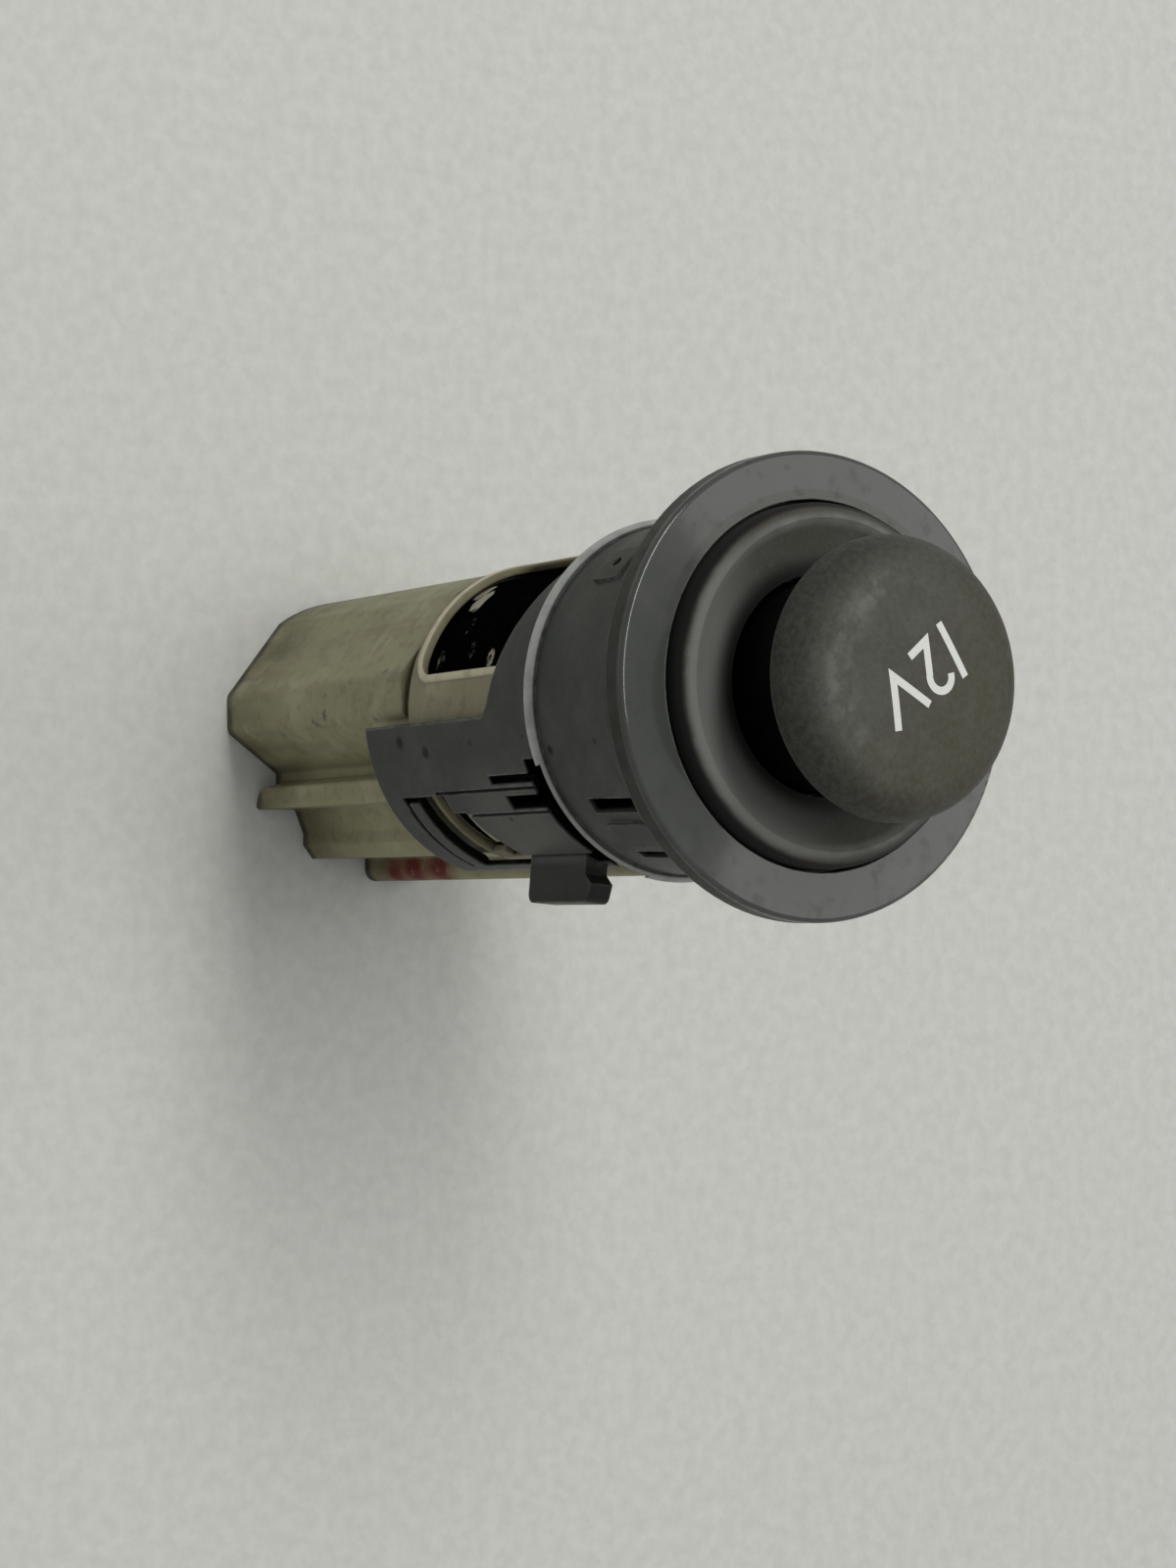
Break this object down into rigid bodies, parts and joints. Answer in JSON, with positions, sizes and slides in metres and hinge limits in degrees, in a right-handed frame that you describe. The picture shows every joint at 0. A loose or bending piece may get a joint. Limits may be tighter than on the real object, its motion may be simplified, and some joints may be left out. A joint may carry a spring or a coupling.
{
  "type": "car power socket",
  "caption": "Round car power socket with a blanking plug: knob and dish in a grey bezel sleeve with snap lugs, on a pale barrel with a side window and a keyed connector tail.",
  "frame": {"origin": "on the barrel axis, in the plane of the connector tail's rim, on which the socket stands", "axes": "+Z along the barrel axis up to the plug's knob, -Y to the front as pictured, +X to the right flank with the long key"},
  "size_m": [0.037, 0.037, 0.0905],
  "materials": {
    "taupe_soft_touch": "soft-touch, worn",
    "black_gloss": "glossy",
    "grey_satin": "satin",
    "natural_moulding": "natural, stained",
    "spring_steel": "plain",
    "brass_contact": "plain",
    "white_print": "pad-printed ink"
  },
  "bodies": {
    "socket": {"socket_housing": "natural_moulding", "socket_liner": "black_gloss", "trim_sleeve": "grey_satin", "ground_contact": "spring_steel", "positive_tab": "brass_contact", "centre_contact": "brass_contact"},
    "plug": {"plug_knob": "taupe_soft_touch", "plug_dish": "taupe_soft_touch", "plug_core": "black_gloss"}
  },
  "joints": [
    {"name": "plug_pull", "type": "slide", "parent": "socket", "child": "plug", "axis": [0, 0, 1], "range_m": [0, 0.045]}
  ]
}
